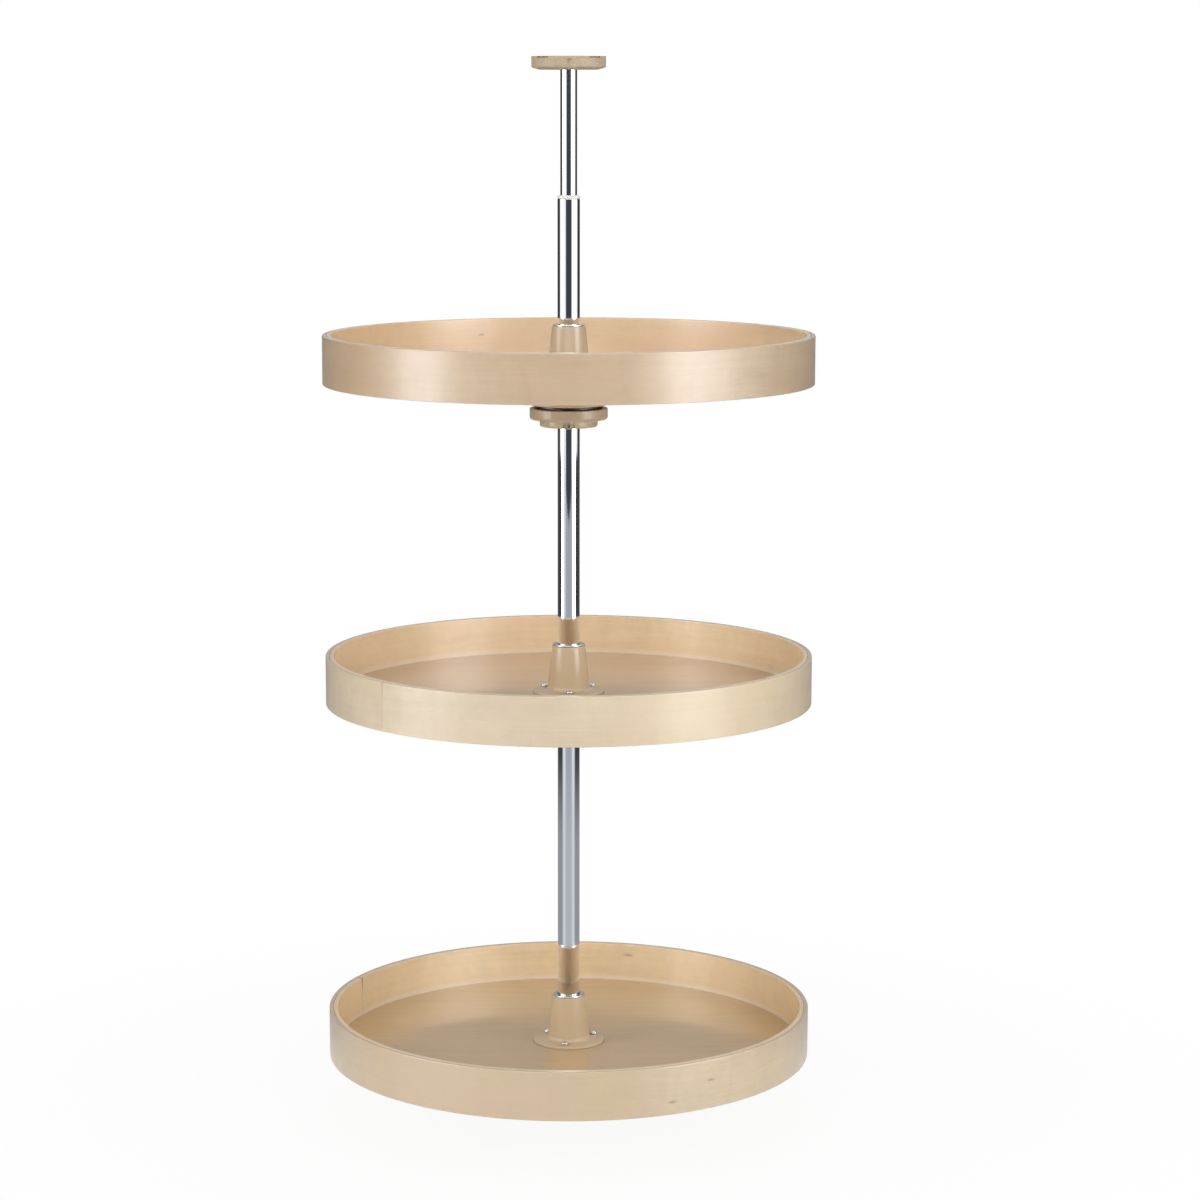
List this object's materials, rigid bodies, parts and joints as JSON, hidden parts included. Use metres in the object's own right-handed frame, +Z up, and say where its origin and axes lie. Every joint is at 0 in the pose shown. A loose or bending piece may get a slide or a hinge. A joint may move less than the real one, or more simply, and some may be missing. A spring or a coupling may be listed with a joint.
{
  "type": "rotating pantry shelf",
  "caption": "Round wooden trays that each turn on a ball bearing clamped to a telescoping chrome post with a floor and a ceiling flange.",
  "frame": {"origin": "centre of the floor flange's flat base, on the post's axis", "axes": "+Z up along the post; -Y towards the side that the clamp screws face; +X to the right seen from there"},
  "size_m": [0.5588, 0.5588, 1.223],
  "materials": {
    "birch_hoop": "bent birch plywood under a clear satin lacquer",
    "birch_deck": "birch plywood under a clear gloss lacquer",
    "beige_plastic": "moulded beige plastic, glossy",
    "nylon": "natural white nylon",
    "chrome_tube": "bright chrome plated steel tube",
    "hub_ring": "bright plated steel",
    "zinc_screw": "bright zinc plated steel",
    "bearing_steel": "polished steel balls in a steel cage"
  },
  "bodies": {
    "post": {"floor_flange": "beige_plastic", "outer_tube": "chrome_tube", "guide_bush": "nylon"},
    "post_extension": {"inner_tube": "chrome_tube", "top_flange": "beige_plastic", "lock_stud": "nylon"},
    "twist_cam": {"lock_cam": "nylon"},
    "bottom_bearing": {"bottom_bearing_collar": "beige_plastic", "bottom_clamp_screw": "zinc_screw"},
    "bottom_cage": {"bottom_ball_cage": "bearing_steel"},
    "bottom_tray": {"bottom_deck": "birch_deck", "bottom_outer_hoop": "birch_hoop", "bottom_inner_hoop": "birch_hoop", "bottom_hub": "beige_plastic", "bottom_hub_ring": "hub_ring", "bottom_hub_screw_1": "zinc_screw", "bottom_hub_screw_2": "zinc_screw", "bottom_hub_screw_3": "zinc_screw", "bottom_bearing_housing": "beige_plastic"},
    "middle_bearing": {"middle_bearing_collar": "beige_plastic", "middle_clamp_screw": "zinc_screw"},
    "middle_cage": {"middle_ball_cage": "bearing_steel"},
    "middle_tray": {"middle_deck": "birch_deck", "middle_outer_hoop": "birch_hoop", "middle_inner_hoop": "birch_hoop", "middle_hub": "beige_plastic", "middle_hub_ring": "hub_ring", "middle_hub_screw_1": "zinc_screw", "middle_hub_screw_2": "zinc_screw", "middle_hub_screw_3": "zinc_screw", "middle_bearing_housing": "beige_plastic"},
    "top_bearing": {"top_bearing_collar": "beige_plastic", "top_clamp_screw": "zinc_screw"},
    "top_cage": {"top_ball_cage": "bearing_steel"},
    "top_tray": {"top_deck": "birch_deck", "top_outer_hoop": "birch_hoop", "top_inner_hoop": "birch_hoop", "top_hub": "beige_plastic", "top_hub_ring": "hub_ring", "top_hub_screw_1": "zinc_screw", "top_hub_screw_2": "zinc_screw", "top_hub_screw_3": "zinc_screw", "top_bearing_housing": "beige_plastic"}
  },
  "joints": [
    {"name": "post_height", "type": "slide", "parent": "post", "child": "post_extension", "axis": [0, 0, 1], "range_m": [-0.135, 0.14]},
    {"name": "lock_twist", "type": "hinge", "parent": "post_extension", "child": "twist_cam", "pos_m": [0.0012, 0, 0.8165], "axis": [0, 0, 1], "range_deg": [-12, 12]},
    {"name": "bottom_height", "type": "slide", "parent": "post", "child": "bottom_bearing", "axis": [0, 0, 1], "range_m": [-0.005, 0.12]},
    {"name": "bottom_spin", "type": "hinge", "parent": "bottom_bearing", "child": "bottom_tray", "pos_m": [0, 0, 0.04785], "axis": [0, 0, 1], "continuous": true},
    {"name": "bottom_cage_spin", "type": "hinge", "parent": "bottom_bearing", "child": "bottom_cage", "pos_m": [0, 0, 0.04785], "axis": [0, 0, 1], "continuous": true},
    {"name": "middle_height", "type": "slide", "parent": "post", "child": "middle_bearing", "axis": [0, 0, 1], "range_m": [-0.12, 0.12]},
    {"name": "middle_spin", "type": "hinge", "parent": "middle_bearing", "child": "middle_tray", "pos_m": [0, 0, 0.46285], "axis": [0, 0, 1], "continuous": true},
    {"name": "middle_cage_spin", "type": "hinge", "parent": "middle_bearing", "child": "middle_cage", "pos_m": [0, 0, 0.46285], "axis": [0, 0, 1], "continuous": true},
    {"name": "top_height", "type": "slide", "parent": "post", "child": "top_bearing", "axis": [0, 0, 1], "range_m": [-0.12, 0.12]},
    {"name": "top_spin", "type": "hinge", "parent": "top_bearing", "child": "top_tray", "pos_m": [0, 0, 0.82985], "axis": [0, 0, 1], "continuous": true},
    {"name": "top_cage_spin", "type": "hinge", "parent": "top_bearing", "child": "top_cage", "pos_m": [0, 0, 0.82985], "axis": [0, 0, 1], "continuous": true}
  ],
  "couplings": [
    {"joint": "bottom_cage_spin", "follows": "bottom_spin", "ratio": 0.5},
    {"joint": "middle_cage_spin", "follows": "middle_spin", "ratio": 0.5},
    {"joint": "top_cage_spin", "follows": "top_spin", "ratio": 0.5}
  ]
}
